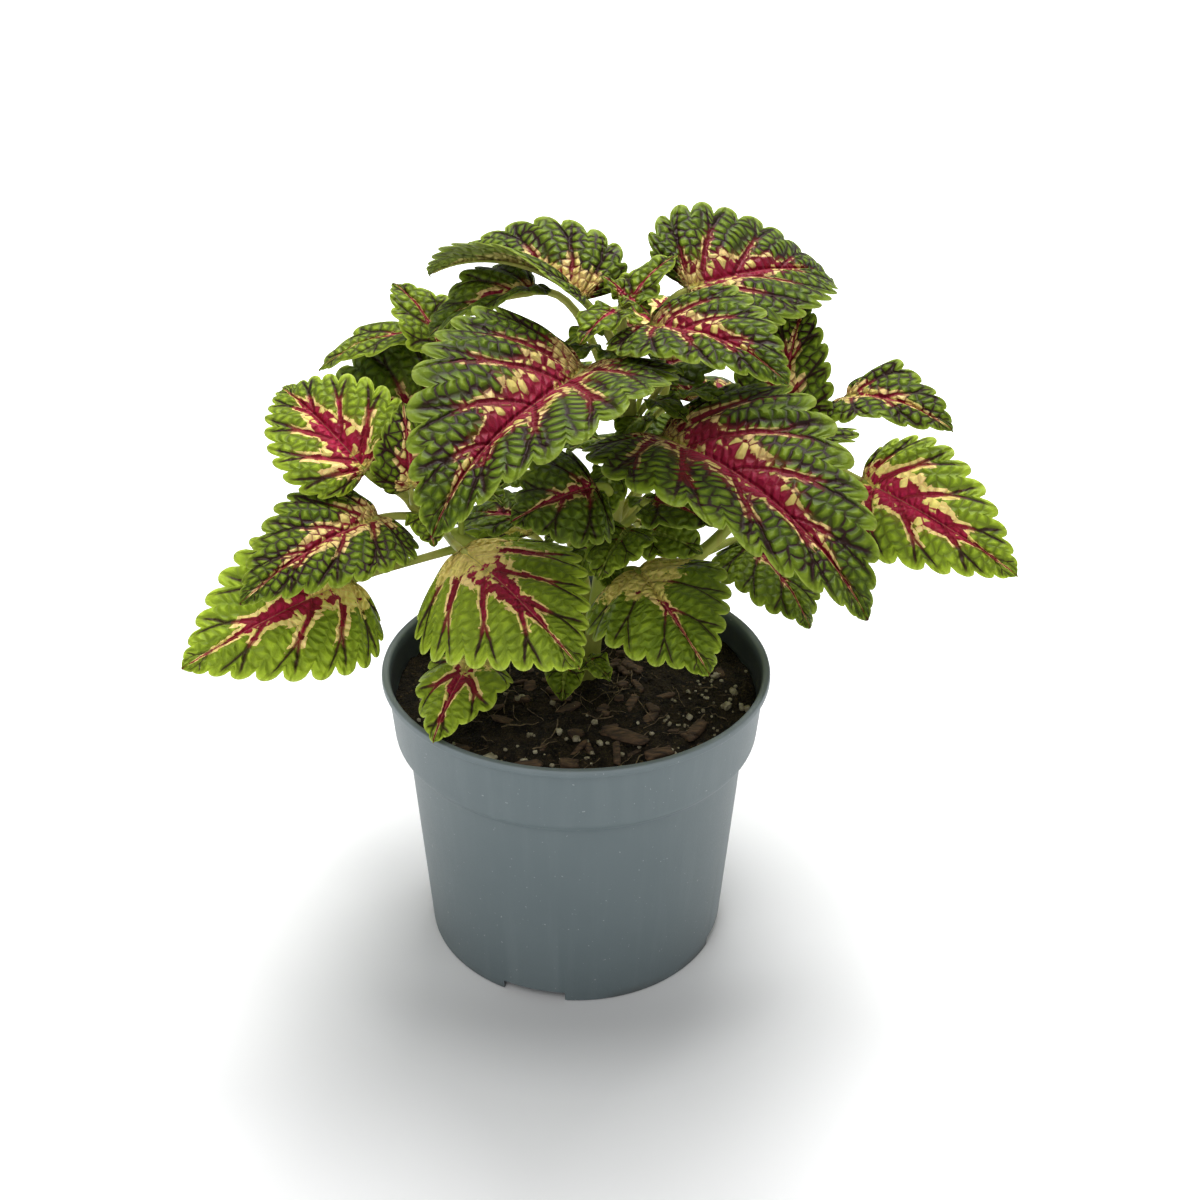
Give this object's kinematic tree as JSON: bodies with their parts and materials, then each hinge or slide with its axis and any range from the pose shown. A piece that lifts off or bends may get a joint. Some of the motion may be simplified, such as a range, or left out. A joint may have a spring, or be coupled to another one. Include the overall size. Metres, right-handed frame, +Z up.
{
  "type": "coleus",
  "caption": "Bushy coleus with scalloped, net-veined leaves in lime green, cream and magenta, growing in a round plastic nursery pot of soil.",
  "frame": {"origin": "on the pot's axis, on the surface that the pot stands on", "axes": "+Z up, -Y towards the viewer"},
  "size_m": [0.2291, 0.175, 0.2287],
  "materials": {
    "pot": "moulded, finely matt",
    "soil": "loose peat with bark and grit",
    "stem": "smooth green stem",
    "leaf": "soft, net-veined, lime green with cream and magenta"
  },
  "bodies": {
    "root": {"pot": "pot", "soil": "soil", "stem": "stem", "leaf_crown_back_right": "leaf", "leaf_crown_front_right": "leaf", "leaf_crown_back_left": "leaf", "leaf_front_left": "leaf", "leaf_front_right": "leaf", "leaf_behind_crown": "leaf", "leaf_far_right": "leaf", "leaf_right_upper": "leaf", "leaf_right_upright": "leaf", "leaf_low_right": "leaf", "leaf_left_upper": "leaf", "leaf_left_small": "leaf", "leaf_left_middle": "leaf", "leaf_left_young": "leaf", "leaf_far_left": "leaf", "leaf_low_front_left": "leaf", "leaf_left_shaded": "leaf", "leaf_back_left_low": "leaf", "leaf_back_left_upright": "leaf", "leaf_back_middle": "leaf", "leaf_back_left": "leaf", "leaf_back_high": "leaf", "leaf_back_right": "leaf", "leaf_right_behind": "leaf", "leaf_back_low_left": "leaf", "leaf_back_low_right": "leaf", "leaf_rim_front": "leaf", "leaf_low_front_right": "leaf", "leaf_inner_front": "leaf", "leaf_inner_left": "leaf", "leaf_inner_right": "leaf", "leaf_inner_upper": "leaf", "leaf_inner_back": "leaf", "leaf_inner_low": "leaf", "leaf_inner_low_right": "leaf", "shoot_crown": "leaf", "shoot_foot": "leaf", "shoot_inner": "leaf"}
  },
  "joints": []
}
